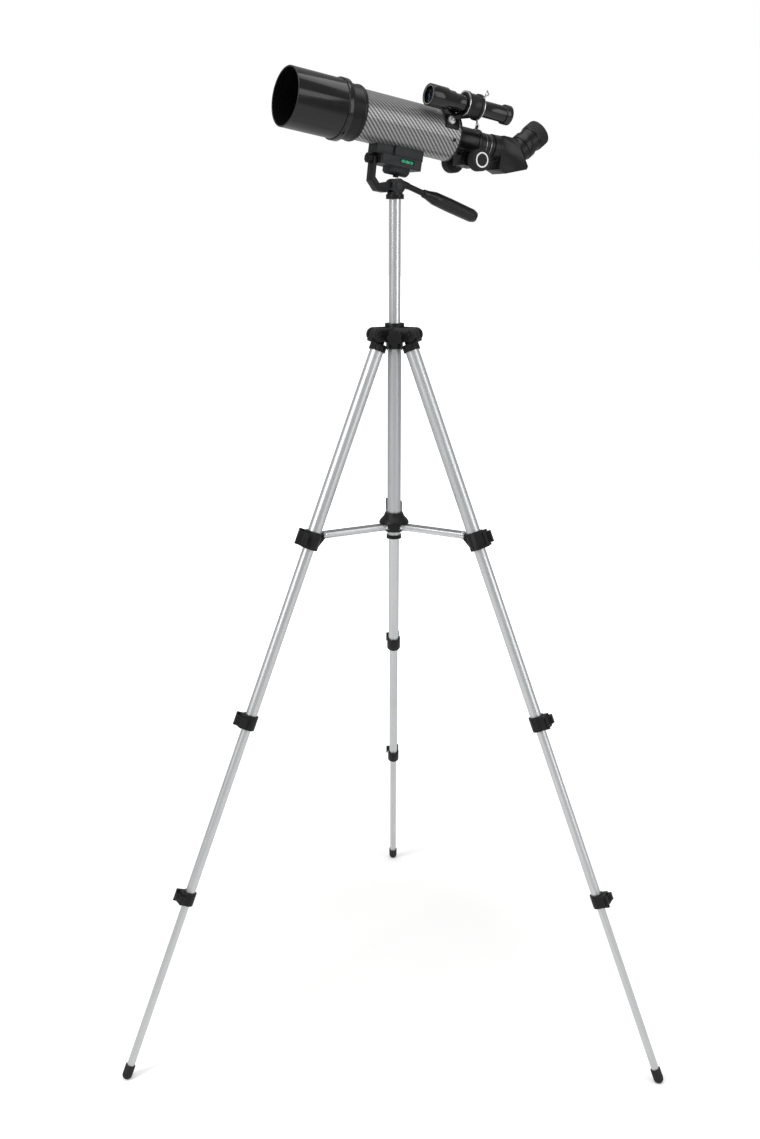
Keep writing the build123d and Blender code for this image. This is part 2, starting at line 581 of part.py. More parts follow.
nodes = {name: solids(shape) for name, shape in LEVEL.items()}
nodes.update({name: [TILT_PLACE * s for s in solids(shape)] for name, shape in TILTED.items()})
floor_cut = Pos(0, 0, -20) * Box(2000, 2000, 40)
for number, azimuth in enumerate(LEG_AZIMUTHS, 1):
    place = Rot(0, 0, azimuth) * Pos(LEG_TOP_R, 0, LEG_TOP_Z) * Rot(0, -LEG_SPLAY, 0)
    for name, shape in LEG.items():
        nodes[f"leg_{number}_{name}"] = [place * s for s in solids(shape)]
    nodes[f"leg_{number}_foot"] = [nodes[f"leg_{number}_foot"][0] - floor_cut]
    brace_place = Rot(0, 0, azimuth) * Pos(EAR_R, 0, EAR_Z)
    nodes[f"leg_{number}_brace"] = [brace_place * s for s in solids(brace())]

# the row's origin is on the floor under the middle of the footprint
feet = Compound(children=[s for n in (1, 2, 3) for s in solids(nodes[f"leg_{n}_foot"])])
box = feet.bounding_box()
SHIFT_X, SHIFT_Y = -(box.min.X + box.max.X) / 2, -(box.min.Y + box.max.Y) / 2
for name, pieces in nodes.items():
    moved = [Pos(SHIFT_X, SHIFT_Y, 0) * s for s in solids(pieces)]
    export_step(moved[0] if len(moved) == 1 else Compound(children=moved), f"parts/{name}.step")
print("nodes", len(nodes), "shift", round(SHIFT_X, 3), round(SHIFT_Y, 3), "hub rise", round(HUB_RISE, 3),
      "brace", round(BRACE_LENGTH, 3), "rise", round(degrees(BRACE_RISE), 3))
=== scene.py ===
import bpy
import json
import math
from mathutils import Euler, Matrix, Vector

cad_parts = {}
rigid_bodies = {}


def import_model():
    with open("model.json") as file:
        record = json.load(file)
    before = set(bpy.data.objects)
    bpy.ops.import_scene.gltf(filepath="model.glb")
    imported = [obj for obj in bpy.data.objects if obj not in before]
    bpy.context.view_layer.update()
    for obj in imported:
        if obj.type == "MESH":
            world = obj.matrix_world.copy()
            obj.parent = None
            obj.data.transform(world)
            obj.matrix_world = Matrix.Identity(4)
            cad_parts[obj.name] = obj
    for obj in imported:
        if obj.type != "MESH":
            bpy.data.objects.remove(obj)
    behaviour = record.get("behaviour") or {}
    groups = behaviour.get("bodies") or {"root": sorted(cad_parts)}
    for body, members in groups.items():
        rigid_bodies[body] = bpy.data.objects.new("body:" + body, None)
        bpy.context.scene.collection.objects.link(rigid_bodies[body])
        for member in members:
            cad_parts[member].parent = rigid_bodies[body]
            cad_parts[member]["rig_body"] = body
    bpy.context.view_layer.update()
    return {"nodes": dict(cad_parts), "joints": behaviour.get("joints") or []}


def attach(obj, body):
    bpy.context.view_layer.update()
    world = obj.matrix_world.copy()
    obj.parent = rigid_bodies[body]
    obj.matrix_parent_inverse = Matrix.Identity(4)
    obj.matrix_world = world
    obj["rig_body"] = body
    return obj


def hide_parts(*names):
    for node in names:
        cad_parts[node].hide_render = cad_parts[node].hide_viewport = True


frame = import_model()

mm = 0.001
joints = {j["name"]: j for j in frame["joints"]}
nodes = frame["nodes"]
legNumbers = (1, 2, 3)


# places, all worked out from the frame's joints
def jointPlace(name):
    return Vector(joints[name]["pos_m"])


def jointAxis(name):
    return Vector(joints[name]["axis"]).normalized()


def axesMatrix(origin, xAxis, zHint):
    # origin with local X along xAxis and local Z near zHint
    x = xAxis.normalized()
    y = zHint.cross(x).normalized()
    z = x.cross(y)
    m = Matrix((x, y, z)).transposed().to_4x4()
    m.translation = origin
    return m


up = Vector((0, 0, 1))
tiltPlace = axesMatrix(jointPlace("tilt"), jointAxis("side_tilt"), up)
tripodAxis = Vector((jointPlace("pan").x, jointPlace("pan").y, 0))
# the telescope's own sizes, the same as the CAD's
scopeSizes = {"height": 77.5, "eyeTurn": -185.6, "finderLean": -42, "finderHeight": 52}
legTop = {"out": 21.2, "height": 1018.8}
scopePlace = tiltPlace @ Matrix.Translation((0, 0, scopeSizes["height"] * mm))
eyePlace = axesMatrix(scopePlace @ Vector((scopeSizes["eyeTurn"] * mm, 0, 0)), jointAxis("eyepiece_slide"), up)


def leaned(angle, x, z):
    # a place turned about the telescope's axis, then moved along it and outwards
    return (scopePlace @ Matrix.Rotation(math.radians(angle), 4, "X")
            @ Matrix.Translation((x * mm, 0, z * mm)))


finderPlace = leaned(scopeSizes["finderLean"], 0, scopeSizes["finderHeight"])


def legPlace(n):
    # a leg's own frame: Z up its tube, X outwards, at the tube's upper end
    zAxis = jointAxis(f"leg_{n}_slide_1")
    outward = Vector((zAxis.x, zAxis.y, 0)) * -1
    x = (outward - zAxis * outward.dot(zAxis)).normalized()
    y = zAxis.cross(x)
    m = Matrix((x, y, zAxis)).transposed().to_4x4()
    flat = outward.normalized()
    m.translation = tripodAxis + flat * legTop["out"] * mm + up * legTop["height"] * mm
    return m


# modelling helpers
def clearSelection():
    for o in bpy.context.selected_objects:
        o.select_set(False)


def makeActive(piece):
    clearSelection()
    bpy.context.view_layer.objects.active = piece
    piece.select_set(True)


def applyModifiers(piece):
    makeActive(piece)
    for m in list(piece.modifiers):
        bpy.ops.object.modifier_apply(modifier=m.name)


def finishPiece(piece, name, matrix, body, material, smoothAngle=35):
    # moves the mesh to its place, smooths it and hands it to its body
    piece.name = name
    piece.data.name = name
    piece.data.transform(matrix)
    makeActive(piece)
    bpy.ops.object.mode_set(mode="EDIT")
    bpy.ops.mesh.select_all(action="SELECT")
    bpy.ops.mesh.remove_doubles(threshold=1e-6)
    bpy.ops.mesh.normals_make_consistent(inside=False)
    bpy.ops.object.mode_set(mode="OBJECT")
    bpy.ops.object.shade_smooth_by_angle(angle=math.radians(smoothAngle))
    piece.data.materials.clear()
    piece.data.materials.append(material)
    clearSelection()
    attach(piece, body)
    return piece


def turned(rings, sides=64):
    # a turned piece on local X: each ring is (distance along, radius), extruded from the one before.
    # An equal first and last ring closes it as a hollow piece; otherwise both ends are filled flat
    hollow = rings[0] == rings[-1]
    along, radius = rings[0]
    clearSelection()
    bpy.ops.mesh.primitive_circle_add(vertices=sides, radius=radius * mm, location=(0, 0, 0))
    piece = bpy.context.object
    bpy.ops.object.mode_set(mode="EDIT")
    bpy.ops.mesh.select_all(action="SELECT")
    bpy.ops.transform.translate(value=(0, 0, along * mm))
    if not hollow:
        bpy.ops.mesh.edge_face_add()
    for nextAlong, nextRadius in rings[1:]:
        rise = {"value": (0, 0, (nextAlong - along) * mm)}
        bpy.ops.mesh.extrude_region_move(TRANSFORM_OT_translate=rise)
        if abs(nextRadius - radius) > 1e-6:
            k = nextRadius / radius
            bpy.ops.transform.resize(value=(k, k, 1), center_override=(0, 0, nextAlong * mm))
        along, radius = nextAlong, nextRadius
    if hollow:
        bpy.ops.mesh.select_all(action="SELECT")
        bpy.ops.mesh.remove_doubles(threshold=1e-7)
    bpy.ops.mesh.select_all(action="SELECT")
    bpy.ops.transform.rotate(value=math.radians(-90), orient_axis="Y", center_override=(0, 0, 0))
    bpy.ops.object.mode_set(mode="OBJECT")
    return piece


def slab(x0, x1, y0, y1, z0, z1, edge=0.4, segments=3):
    # a block with rounded edges, in millimetres, on local axes
    clearSelection()
    bpy.ops.mesh.primitive_cube_add(size=1, location=(0, 0, 0))
    piece = bpy.context.object
    bpy.ops.object.mode_set(mode="EDIT")
    bpy.ops.mesh.select_all(action="SELECT")
    bpy.ops.transform.resize(value=((x1 - x0) * mm, (y1 - y0) * mm, (z1 - z0) * mm))
    bpy.ops.transform.translate(value=((x0 + x1) / 2 * mm, (y0 + y1) / 2 * mm, (z0 + z1) / 2 * mm))
    if edge:
        bpy.ops.mesh.select_all(action="SELECT")
        bpy.ops.mesh.bevel(offset=edge * mm, segments=segments)
    bpy.ops.object.mode_set(mode="OBJECT")
    return piece


def joined(pieces):
    makeActive(pieces[0])
    for p in pieces[1:]:
        p.select_set(True)
    bpy.ops.object.join()
    return bpy.context.object


def softened(node, material, edge):
    # a copy of a CAD piece, merged, with its sharp edges rounded as a mould leaves them
    source = nodes[node]
    clearSelection()
    mesh = source.data.copy()
    piece = bpy.data.objects.new(node + "_moulded", mesh)
    bpy.context.collection.objects.link(piece)
    makeActive(piece)
    bpy.ops.object.mode_set(mode="EDIT")
    bpy.ops.mesh.select_all(action="SELECT")
    bpy.ops.mesh.remove_doubles(threshold=2e-6)
    bpy.ops.mesh.dissolve_limited(angle_limit=math.radians(0.5))
    bpy.ops.mesh.normals_make_consistent(inside=False)
    bpy.ops.object.mode_set(mode="OBJECT")
    bevel = piece.modifiers.new("edge", "BEVEL")
    bevel.limit_method = "ANGLE"
    bevel.angle_limit = math.radians(32)
    bevel.width = edge * mm
    bevel.segments = 2
    bevel.use_clamp_overlap = True
    bevel.harden_normals = False
    applyModifiers(piece)
    finishPiece(piece, node + "_moulded", Matrix.Identity(4), source["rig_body"], material)
    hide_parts(node)
    return piece


# shader groups
def newGroup(name, inputs, outputs):
    group = bpy.data.node_groups.new(name, "ShaderNodeTree")
    for label, kind, value in inputs:
        socket = group.interface.new_socket(name=label, in_out="INPUT", socket_type=kind)
        socket.default_value = value
    for label, kind in outputs:
        group.interface.new_socket(name=label, in_out="OUTPUT", socket_type=kind)
    return group, group.nodes.new("NodeGroupInput"), group.nodes.new("NodeGroupOutput")


def mathNode(tree, operation, a, b=None, clamp=False):
    n = tree.nodes.new("ShaderNodeMath")
    n.operation = operation
    n.use_clamp = clamp
    for i, value in enumerate((a, b)):
        if value is None:
            continue
        if hasattr(value, "is_output"):
            tree.links.new(value, n.inputs[i])
        else:
            n.inputs[i].default_value = value
    return n.outputs[0]


def mixColour(tree, factor, a, b):
    n = tree.nodes.new("ShaderNodeMix")
    n.data_type = "RGBA"
    amount = next(socket for socket in n.inputs if socket.type == "VALUE")
    first, second = (socket for socket in n.inputs if socket.type == "RGBA")
    for socket, value in ((amount, factor), (first, a), (second, b)):
        if hasattr(value, "is_output"):
            tree.links.new(value, socket)
        else:
            socket.default_value = value if socket is amount else (*value[:3], 1)
    return next(socket for socket in n.outputs if socket.type == "RGBA")


def buildEdgeWear():
    # a mask that is 1 on rounded edges, from how far a bevelled normal leaves the true one
    inputs = [("Radius", "NodeSocketFloat", 0.0006), ("Breakup", "NodeSocketFloat", 0.5)]
    group, gin, gout = newGroup("edgeWear", inputs, [("Mask", "NodeSocketFloat")])
    bevel = group.nodes.new("ShaderNodeBevel")
    bevel.samples = 4
    group.links.new(gin.outputs["Radius"], bevel.inputs["Radius"])
    geometry = group.nodes.new("ShaderNodeNewGeometry")
    dot = group.nodes.new("ShaderNodeVectorMath")
    dot.operation = "DOT_PRODUCT"
    group.links.new(bevel.outputs["Normal"], dot.inputs[0])
    group.links.new(geometry.outputs["Normal"], dot.inputs[1])
    edge = mathNode(group, "SUBTRACT", 1.0, dot.outputs["Value"], clamp=True)
    edge = mathNode(group, "MULTIPLY", edge, 6.0, clamp=True)
    coords = group.nodes.new("ShaderNodeTexCoord")
    noise = group.nodes.new("ShaderNodeTexNoise")
    noise.inputs["Scale"].default_value = 900
    noise.inputs["Detail"].default_value = 3
    group.links.new(coords.outputs["Object"], noise.inputs["Vector"])
    broken = mathNode(group, "MULTIPLY", noise.outputs["Fac"], gin.outputs["Breakup"])
    group.links.new(mathNode(group, "SUBTRACT", edge, broken, clamp=True), gout.inputs["Mask"])
    return group


def buildMouldGrain():
    # fine spark-eroded grain of moulded plastic, with slow changes of tone
    group, gin, gout = newGroup("mouldGrain", [("Size", "NodeSocketFloat", 2600.0)],
                                [("Height", "NodeSocketFloat"), ("Tone", "NodeSocketFloat")])
    coords = group.nodes.new("ShaderNodeTexCoord")
    fine = group.nodes.new("ShaderNodeTexNoise")
    fine.inputs["Detail"].default_value = 4
    fine.inputs["Roughness"].default_value = 0.7
    slow = group.nodes.new("ShaderNodeTexNoise")
    slow.inputs["Scale"].default_value = 45
    slow.inputs["Detail"].default_value = 3
    group.links.new(gin.outputs["Size"], fine.inputs["Scale"])
    for n in (fine, slow):
        group.links.new(coords.outputs["Object"], n.inputs["Vector"])
    group.links.new(fine.outputs["Fac"], gout.inputs["Height"])
    group.links.new(slow.outputs["Fac"], gout.inputs["Tone"])
    return group


def buildDust():
    # light dust that settles on faces that look up
    group, gin, gout = newGroup("settledDust", [("Amount", "NodeSocketFloat", 0.2)],
                                [("Mask", "NodeSocketFloat")])
    geometry = group.nodes.new("ShaderNodeNewGeometry")
    split = group.nodes.new("ShaderNodeSeparateXYZ")
    group.links.new(geometry.outputs["Normal"], split.inputs[0])
    coords = group.nodes.new("ShaderNodeTexCoord")
    noise = group.nodes.new("ShaderNodeTexNoise")
    noise.inputs["Scale"].default_value = 160
    noise.inputs["Detail"].default_value = 6
    group.links.new(coords.outputs["Object"], noise.inputs["Vector"])
    facing = mathNode(group, "MAXIMUM", split.outputs["Z"], 0.0)
    facing = mathNode(group, "POWER", facing, 2.0)
    mask = mathNode(group, "MULTIPLY", facing, noise.outputs["Fac"])
    amount = mathNode(group, "MULTIPLY", mask, gin.outputs["Amount"], clamp=True)
    group.links.new(amount, gout.inputs["Mask"])
    return group


print("shader groups")
edgeWear = buildEdgeWear()
mouldGrain = buildMouldGrain()
settledDust = buildDust()


def groupNode(tree, group, **values):
    n = tree.nodes.new("ShaderNodeGroup")
    n.node_tree = group
    for label, value in values.items():
        n.inputs[label].default_value = value
    return n


def newMaterial(name):
    material = bpy.data.materials.new(name)
    material.use_nodes = True
    return material, material.node_tree, material.node_tree.nodes["Principled BSDF"]


def ramp(tree, value, low, high, toLow, toHigh):
    n = tree.nodes.new("ShaderNodeMapRange")
    tree.links.new(value, n.inputs["Value"])
    n.inputs["From Min"].default_value = low
    n.inputs["From Max"].default_value = high
    n.inputs["To Min"].default_value = toLow
    n.inputs["To Max"].default_value = toHigh
    return n.outputs["Result"]


def bumped(tree, shader, height, strength, distance):
    bump = tree.nodes.new("ShaderNodeBump")
    bump.inputs["Strength"].default_value = strength
    bump.inputs["Distance"].default_value = distance
    tree.links.new(height, bump.inputs["Height"])
    tree.links.new(bump.outputs["Normal"], shader.inputs["Normal"])


# finishes
def mouldedPlastic(name, look):
    material, tree, shader = newMaterial(name)
    grain = groupNode(tree, mouldGrain, Size=look["grain"])
    wear = groupNode(tree, edgeWear, Radius=look["wearRadius"])
    dust = groupNode(tree, settledDust, Amount=look["dust"])
    dark = tuple(c * 0.8 for c in look["colour"])
    light = tuple(c * 1.25 for c in look["colour"])
    colour = mixColour(tree, grain.outputs["Tone"], dark, light)
    worn = mathNode(tree, "MULTIPLY", wear.outputs["Mask"], look["wear"])
    colour = mixColour(tree, worn, colour, look["wornColour"])
    colour = mixColour(tree, dust.outputs["Mask"], colour, (0.16, 0.155, 0.15))
    tree.links.new(colour, shader.inputs["Base Color"])
    rough = ramp(tree, grain.outputs["Tone"], 0.3, 0.7, look["rough"] - 0.05, look["rough"] + 0.07)
    tree.links.new(rough, shader.inputs["Roughness"])
    shader.inputs["Specular IOR Level"].default_value = look["specular"]
    shader.inputs["Coat Weight"].default_value = look["coat"]
    shader.inputs["Coat Roughness"].default_value = 0.08
    bumped(tree, shader, grain.outputs["Height"], look["bump"], 0.00006)
    return material


def anodised(name, place, look):
    # drawn and anodised aluminium: fine lines along local Z of the place given
    material, tree, shader = newMaterial(name)
    coords = tree.nodes.new("ShaderNodeTexCoord")
    local = tree.nodes.new("ShaderNodeMapping")
    local.vector_type = "TEXTURE"
    local.inputs["Location"].default_value = place.translation
    local.inputs["Rotation"].default_value = place.to_euler("XYZ")
    tree.links.new(coords.outputs["Object"], local.inputs["Vector"])
    stretch = tree.nodes.new("ShaderNodeMapping")
    stretch.inputs["Scale"].default_value = (1, 1, 0.012)
    tree.links.new(local.outputs["Vector"], stretch.inputs["Vector"])
    lines = tree.nodes.new("ShaderNodeTexNoise")
    lines.inputs["Scale"].default_value = 2200
    lines.inputs["Detail"].default_value = 5
    tree.links.new(stretch.outputs["Vector"], lines.inputs["Vector"])
    slow = tree.nodes.new("ShaderNodeTexNoise")
    slow.inputs["Scale"].default_value = 22
    slow.inputs["Detail"].default_value = 4
    tree.links.new(coords.outputs["Object"], slow.inputs["Vector"])
    wear = groupNode(tree, edgeWear, Radius=0.0004)
    colour = mixColour(tree, lines.outputs["Fac"], look["dark"], look["light"])
    colour = mixColour(tree, mathNode(tree, "MULTIPLY", wear.outputs["Mask"], 0.6), colour, (0.86, 0.87, 0.88))
    colour = mixColour(tree, ramp(tree, slow.outputs["Fac"], 0.45, 0.75, 0.0, 0.22), colour, look["stain"])
    tree.links.new(colour, shader.inputs["Base Color"])
    shader.inputs["Metallic"].default_value = look["metallic"]
    drawn = ramp(tree, lines.outputs["Fac"], 0.3, 0.7, look["rough"] - 0.04, look["rough"] + 0.05)
    rough = mathNode(tree, "ADD", drawn, ramp(tree, slow.outputs["Fac"], 0.35, 0.7, 0.0, 0.06))
    tree.links.new(rough, shader.inputs["Roughness"])
    bumped(tree, shader, lines.outputs["Fac"], 0.04, 0.00001)
    return material


def chromed(name, tone=1.0):
    material, tree, shader = newMaterial(name)
    grain = groupNode(tree, mouldGrain, Size=700.0)
    wear = groupNode(tree, edgeWear, Radius=0.0003)
    colour = mixColour(tree, grain.outputs["Tone"], (0.62 * tone,) * 3, (0.8 * tone,) * 3)
    colour = mixColour(tree, mathNode(tree, "MULTIPLY", wear.outputs["Mask"], 0.5), colour, (0.92, 0.92, 0.9))
    tree.links.new(colour, shader.inputs["Base Color"])
    shader.inputs["Metallic"].default_value = 1.0
    tree.links.new(ramp(tree, grain.outputs["Tone"], 0.3, 0.7, 0.12, 0.26), shader.inputs["Roughness"])
    bumped(tree, shader, grain.outputs["Height"], 0.08, 0.00003)
    return material


def twillWrap(name, place, look):
    # woven twill print round the tube: diagonal silver ribs with stepped edges, under clear coat
    material, tree, shader = newMaterial(name)
    coords = tree.nodes.new("ShaderNodeTexCoord")
    local = tree.nodes.new("ShaderNodeMapping")
    local.vector_type = "TEXTURE"
    local.inputs["Location"].default_value = place.translation
    local.inputs["Rotation"].default_value = place.to_euler("XYZ")
    tree.links.new(coords.outputs["Object"], local.inputs["Vector"])
    split = tree.nodes.new("ShaderNodeSeparateXYZ")
    tree.links.new(local.outputs["Vector"], split.inputs[0])
    turn = mathNode(tree, "ARCTAN2", split.outputs["Y"], split.outputs["Z"])
    turns = mathNode(tree, "MULTIPLY", turn, 1 / math.tau)
    along = mathNode(tree, "MULTIPLY", split.outputs["X"], 1 / look["pitch"])
    around = mathNode(tree, "MULTIPLY", turns, float(look["starts"]))
    phase = mathNode(tree, "ADD", along, around)
    # the crossing threads nudge each rib into short steps
    crossing = mathNode(tree, "MULTIPLY", turns, float(look["threads"]))
    step = mathNode(tree, "SINE", mathNode(tree, "MULTIPLY", crossing, math.tau))
    phase = mathNode(tree, "ADD", phase, mathNode(tree, "MULTIPLY", step, look["step"]))
    wave = mathNode(tree, "SINE", mathNode(tree, "MULTIPLY", phase, math.tau))
    rib = ramp(tree, wave, -0.55, 0.85, 0.0, 1.0)
    thread = mathNode(tree, "ABSOLUTE", mathNode(tree, "SINE", mathNode(tree, "MULTIPLY", crossing, math.pi)))
    tone = mathNode(tree, "MULTIPLY", rib, ramp(tree, thread, 0.0, 1.0, 0.72, 1.0))
    noise = tree.nodes.new("ShaderNodeTexNoise")
    noise.inputs["Scale"].default_value = 420
    noise.inputs["Detail"].default_value = 3
    tree.links.new(coords.outputs["Object"], noise.inputs["Vector"])
    tone = mathNode(tree, "MULTIPLY", tone, ramp(tree, noise.outputs["Fac"], 0.3, 0.7, 0.86, 1.0))
    colour = mixColour(tree, tone, look["dark"], look["light"])
    tree.links.new(colour, shader.inputs["Base Color"])
    tree.links.new(ramp(tree, tone, 0.0, 1.0, 0.25, 0.75), shader.inputs["Metallic"])
    tree.links.new(ramp(tree, tone, 0.0, 1.0, 0.5, 0.34), shader.inputs["Roughness"])
    shader.inputs["Coat Weight"].default_value = 0.55
    shader.inputs["Coat Roughness"].default_value = 0.1
    bumped(tree, shader, tone, 0.18, 0.00008)
    return material


def clearGlass(name, tint, rough=0.02):
    material, tree, shader = newMaterial(name)
    grain = groupNode(tree, mouldGrain, Size=60.0)
    tree.links.new(mixColour(tree, grain.outputs["Tone"], tint, tuple(min(1, c * 1.06) for c in tint)),
                   shader.inputs["Base Color"])
    shader.inputs["Transmission Weight"].default_value = 1.0
    shader.inputs["IOR"].default_value = 1.52
    polish = ramp(tree, grain.outputs["Tone"], 0.3, 0.7, rough, rough + 0.03)
    tree.links.new(polish, shader.inputs["Roughness"])
    shader.inputs["Coat Weight"].default_value = 0.6
    shader.inputs["Coat Tint"].default_value = (0.6, 0.75, 1.0, 1)
    return material


print("finishes")
mould = {"colour": (0.007, 0.0071, 0.0076), "wornColour": (0.045, 0.045, 0.047), "wear": 0.55,
         "wearRadius": 0.0006, "rough": 0.42, "specular": 0.22, "coat": 0.0, "bump": 0.5, "grain": 2600.0,
         "dust": 0.05}
blackPlastic = mouldedPlastic("blackPlastic", mould)
greyPlastic = mouldedPlastic("greyPlastic", {**mould, "colour": (0.017, 0.018, 0.02), "rough": 0.4,
                                             "wornColour": (0.12, 0.12, 0.125), "wear": 0.8})
gripPlastic = mouldedPlastic("gripPlastic", {**mould, "colour": (0.006, 0.006, 0.0063), "rough": 0.26,
                                             "bump": 0.25, "specular": 0.3})
glossBlack = mouldedPlastic("glossBlack", {**mould, "colour": (0.004, 0.004, 0.0045), "rough": 0.14,
                                           "bump": 0.06, "coat": 0.25, "specular": 0.3,
                                           "wear": 0.25, "dust": 0.03})
satinBlack = mouldedPlastic("satinBlack", {**mould, "colour": (0.005, 0.005, 0.0055), "rough": 0.3,
                                           "bump": 0.2, "specular": 0.28, "wear": 0.4})
ribRubber = mouldedPlastic("ribRubber", {**mould, "colour": (0.014, 0.014, 0.014), "rough": 0.6,
                                         "bump": 0.6, "wear": 0.3, "dust": 0.12})
footRubber = mouldedPlastic("footRubber", {**mould, "colour": (0.017, 0.017, 0.018), "rough": 0.62,
                                           "bump": 0.8, "wear": 0.5, "dust": 0.2, "grain": 1500.0})
chrome = chromed("chrome")
tubeLook = {"dark": (0.54, 0.55, 0.56), "light": (0.66, 0.67, 0.68), "stain": (0.48, 0.49, 0.5),
            "metallic": 0.85, "rough": 0.36}
legAluminium = {n: anodised(f"legAluminium{n}", legPlace(n), tubeLook) for n in legNumbers}
axisPlace = Matrix.Translation(tripodAxis)
columnLook = {**tubeLook, "dark": (0.6, 0.61, 0.62), "light": (0.74, 0.75, 0.76), "rough": 0.26}
columnAluminium = anodised("columnAluminium", axisPlace, columnLook)
guideAluminium = anodised("guideAluminium", axisPlace, tubeLook)
twill = twillWrap("twill", scopePlace, {"pitch": 0.0066, "starts": 36, "threads": 140, "step": 0.1,
                                        "dark": (0.055, 0.055, 0.057), "light": (0.4, 0.4, 0.405)})
coatedGlass = clearGlass("coatedGlass", (0.82, 0.92, 0.95))
vialGreen = mouldedPlastic("vialGreen", {**mould, "colour": (0.01, 0.33, 0.15), "rough": 0.1,
                                         "wornColour": (0.1, 0.6, 0.35), "bump": 0.05,
                                         "coat": 0.5, "dust": 0.0, "wear": 0.3})
darkChrome = chromed("darkChrome", 0.5)

print("CAD pieces that keep their shape")
keepMaterials = {"main_tube": twill, "center_column": columnAluminium, "guide_tube": guideAluminium,
                 "objective_lens": coatedGlass, "drawtube": satinBlack, "handle_shaft": blackPlastic}
for n in legNumbers:
    for k in (1, 2, 3, 4):
        keepMaterials[f"leg_{n}_tube_{k}"] = legAluminium[n]
for node, material in keepMaterials.items():
    for s in nodes[node].material_slots:
        s.material = material

print("moulded pieces")
softPieces = {
    "canopy": ("black_plastic", blackPlastic, 0.7), "column_lock_knob": ("black_plastic", blackPlastic, 0.9),
    "brace_hub": ("black_plastic", blackPlastic, 0.5), "pan_lock_ring": ("black_plastic", blackPlastic, 0.25),
    "head_base": ("grey_plastic", greyPlastic, 0.9), "yoke": ("black_plastic", blackPlastic, 0.8),
    "side_lock_knob": ("black_plastic", blackPlastic, 0.5), "tilt_platform": ("grey_plastic", greyPlastic, 0.6),
    "mount_block": ("grey_plastic", greyPlastic, 0.5), "focuser_housing": ("satin_black_metal", satinBlack, 0.5),
    "finder_bracket": ("satin_black_metal", satinBlack, 0.4), "diagonal": ("satin_black_metal", satinBlack, 0.8),
    "handle_grip": ("grip_plastic", gripPlastic, 0.6), "lens_cell": ("satin_black_metal", satinBlack, 0.4),
    "dew_shield": ("gloss_black", glossBlack, 0.5), "finder_tube": ("gloss_black", glossBlack, 0.4),
    "eyepiece": ("satin_black_metal", satinBlack, 0.4), "focus_knobs": ("knob_rubber", ribRubber, 0.3),
}
for n in legNumbers:
    for name in ("fitting", "collar_2", "collar_3", "lever_1", "lever_2", "lever_3"):
        softPieces[f"leg_{n}_{name}"] = ("black_plastic", blackPlastic, 0.5)
    softPieces[f"leg_{n}_foot"] = ("foot_rubber", footRubber, 0.5)
for node, (slotName, material, edge) in softPieces.items():
    softened(node, material, edge)


# pieces modelled here
def rimSelect(piece, test):
    # selects the vertices that pass the test, leaving edit mode on
    makeActive(piece)
    bpy.ops.object.mode_set(mode="EDIT")
    bpy.ops.mesh.select_all(action="DESELECT")
    bpy.ops.object.mode_set(mode="OBJECT")
    for v in piece.data.vertices:
        v.select = test(v.co)
    for e in piece.data.edges:
        e.select = all(piece.data.vertices[i].select for i in e.vertices)
    for f in piece.data.polygons:
        f.select = all(piece.data.vertices[i].select for i in f.vertices)
    bpy.ops.object.mode_set(mode="EDIT")


def knurled(rings, ribs, depth, outer):
    # a turned piece on local X whose outer rim is drawn in between its ribs
    piece = turned(rings, sides=ribs * 4)
    pitch = math.tau / ribs

    def between(co):
        radius = math.hypot(co.y, co.z)
        angle = (math.atan2(co.z, co.y) + pitch / 8) % pitch
        return radius > outer * mm * 0.985 and angle > pitch / 2
    rimSelect(piece, between)
    k = 1 - depth / outer
    bpy.ops.transform.resize(value=(1, k, k), center_override=(0, 0, 0))
    bpy.ops.object.mode_set(mode="OBJECT")
    return piece


def shifted(place, x=0.0, y=0.0, z=0.0):
    return place @ Matrix.Translation((x * mm, y * mm, z * mm))


acrossTurn = Matrix.Rotation(math.radians(90), 4, "Z")      # local X onto local Y
upTurn = Matrix.Rotation(math.radians(-90), 4, "Y")         # local X onto local Z

print("braces")
braceLook = {"width": 9.5, "height": 8.0, "wall": 1.0, "reach": 4.0, "cutBack": 6.5, "hubRadius": 14.5,
             "endRound": 2.6}


def braceChannel(length):
    # stamped channel, web up, from the leg's ear at the origin to the hub on -X
    half, tall, wall = braceLook["width"] / 2, braceLook["height"] / 2, braceLook["wall"]
    reach = braceLook["reach"]
    cheeks = []
    for side in (-1, 1):
        cheek = slab(-length - reach, reach, side * half - (wall if side > 0 else 0),
                     side * half + (wall if side < 0 else 0), -tall, tall, edge=0)
        # only the corners at the two ends are rounded
        makeActive(cheek)
        bpy.ops.object.mode_set(mode="EDIT")
        bpy.ops.mesh.select_all(action="DESELECT")
        bpy.ops.object.mode_set(mode="OBJECT")
        for e in cheek.data.edges:
            a, b = (cheek.data.vertices[i].co for i in e.vertices)
            e.select = abs(a.x - b.x) < 1e-7 and abs(a.z - b.z) < 1e-7
        bpy.ops.object.mode_set(mode="EDIT")
        bpy.ops.mesh.bevel(offset=braceLook["endRound"] * mm, segments=5)
        bpy.ops.object.mode_set(mode="OBJECT")
        cheeks.append(cheek)
    cutBack = braceLook["cutBack"]
    web = slab(-length + cutBack, -cutBack, -half, half, tall - wall, tall, edge=0.25, segments=2)
    return joined([web] + cheeks)


